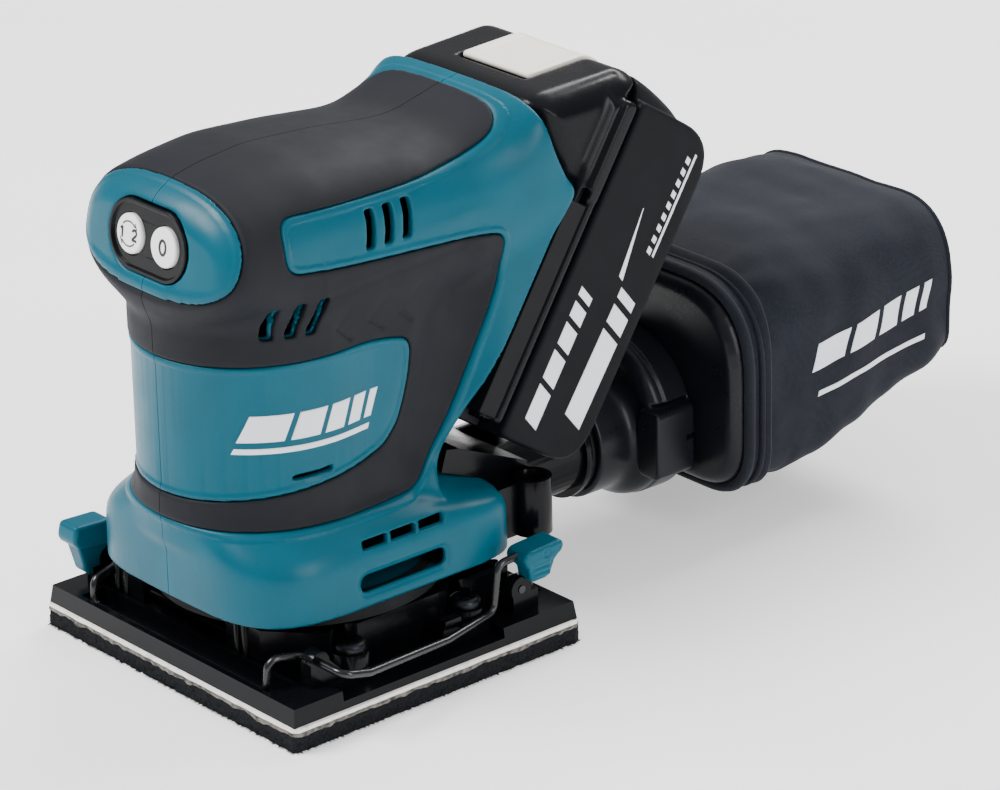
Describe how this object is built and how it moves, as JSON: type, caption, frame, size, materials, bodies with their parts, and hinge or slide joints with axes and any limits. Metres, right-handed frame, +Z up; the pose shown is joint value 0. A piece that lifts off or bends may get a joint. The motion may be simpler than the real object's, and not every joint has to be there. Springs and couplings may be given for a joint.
{
  "type": "palm sander",
  "caption": "Cordless quarter-sheet palm sander with a rectangular orbital pad, wire paper clamps, slide-on battery and rear dust bag.",
  "frame": {"origin": "centre of the sanding face of the pad", "axes": "+Z up, -Y towards the switch, +Y towards the battery and the dust bag, +X to the left of the person holding it"},
  "size_m": [0.1174, 0.2687, 0.1527],
  "materials": {
    "teal_plastic": "satin moulded nylon",
    "soft_grip": "soft-touch overmould",
    "black_plastic": "satin",
    "gloss_black": "gloss",
    "battery_plastic": "fine texture",
    "bag_plastic": "satin",
    "white_plastic": "satin",
    "button_plastic": "satin off-white",
    "bag_cloth": "woven",
    "felt": "felt",
    "foam": "open-cell foam with hook face",
    "rubber": "matt",
    "plate_metal": "white coating",
    "dark_steel": "black oxide",
    "spring_wire": "black coated",
    "steel": "ground",
    "laminations": "stacked sheet",
    "copper": "enamelled wire",
    "brass": "plated",
    "aluminium": "extruded",
    "circuit_board": "solder mask",
    "cell_sleeve": "shrink sleeve"
  },
  "bodies": {
    "housing": {"housing_left": "teal_plastic", "housing_right": "teal_plastic", "grip_left": "soft_grip", "grip_right": "soft_grip", "housing_screws": "dark_steel", "switch_bezel": "gloss_black", "switch_board": "circuit_board", "controller_board": "circuit_board", "heat_sink": "aluminium", "terminal_block": "black_plastic", "terminal_blades": "brass", "battery_dock": "black_plastic", "stator_core": "laminations", "stator_windings": "copper", "bearing_plate": "black_plastic", "lower_bearing": "steel", "upper_bearing": "steel", "support_legs": "rubber", "dust_seal": "felt", "dust_nozzle": "black_plastic", "nozzle_screws": "dark_steel", "nozzle_ring": "rubber"},
    "shaft": {"motor_shaft": "steel", "rotor": "laminations", "cooling_fan": "black_plastic", "counterweight": "steel", "eccentric_bearing": "steel"},
    "pad": {"pad_base": "black_plastic", "backing_plate": "plate_metal", "sanding_pad": "foam", "base_screws": "dark_steel"},
    "front_clamp": {"front_clamp_wire": "spring_wire", "front_clamp_lever": "teal_plastic"},
    "rear_clamp": {"rear_clamp_wire": "spring_wire", "rear_clamp_lever": "teal_plastic"},
    "on_button": {"on_button": "white_plastic"},
    "off_button": {"off_button": "white_plastic"},
    "battery": {"battery_lower_shell": "battery_plastic", "battery_upper_shell": "gloss_black", "battery_cells": "cell_sleeve", "battery_terminals": "brass"},
    "battery_release": {"battery_button": "button_plastic"},
    "dust_bag": {"bag_holder": "bag_plastic", "bag_frame": "bag_plastic", "bag_fabric": "bag_cloth", "bag_piping": "bag_cloth"}
  },
  "joints": [
    {"name": "shaft_spin", "type": "hinge", "parent": "housing", "child": "shaft", "pos_m": [0, -0.004, 0.06], "axis": [0, 0, 1], "continuous": true},
    {"name": "pad_orbit", "type": "hinge", "parent": "shaft", "child": "pad", "pos_m": [0, -0.00325, 0.018], "axis": [0, 0, 1], "continuous": true},
    {"name": "front_clamp_swing", "type": "hinge", "parent": "pad", "child": "front_clamp", "pos_m": [0, -0.035, 0.019], "axis": [1, 0, 0], "range_deg": [0, 6]},
    {"name": "rear_clamp_swing", "type": "hinge", "parent": "pad", "child": "rear_clamp", "pos_m": [0, 0.035, 0.019], "axis": [-1, 0, 0], "range_deg": [0, 6]},
    {"name": "on_press", "type": "slide", "parent": "housing", "child": "on_button", "axis": [0, 0.9907, -0.1357], "range_m": [0, 0.001], "stiffness_N_per_m": 600, "springref_m": -0.001},
    {"name": "off_press", "type": "slide", "parent": "housing", "child": "off_button", "axis": [0, 0.9907, -0.1357], "range_m": [0, 0.001], "stiffness_N_per_m": 600, "springref_m": -0.001},
    {"name": "battery_slide", "type": "slide", "parent": "housing", "child": "battery", "axis": [0, 0.5461, 0.8377], "range_m": [0, 0.08]},
    {"name": "battery_release_press", "type": "slide", "parent": "battery", "child": "battery_release", "axis": [0, 0.8377, -0.5461], "range_m": [0, 0.003], "stiffness_N_per_m": 400, "springref_m": -0.003},
    {"name": "dust_bag_slide", "type": "slide", "parent": "housing", "child": "dust_bag", "axis": [0, 1, 0], "range_m": [0, 0.02]}
  ],
  "couplings": [
    {"joint": "pad_orbit", "follows": "shaft_spin", "ratio": -1}
  ]
}
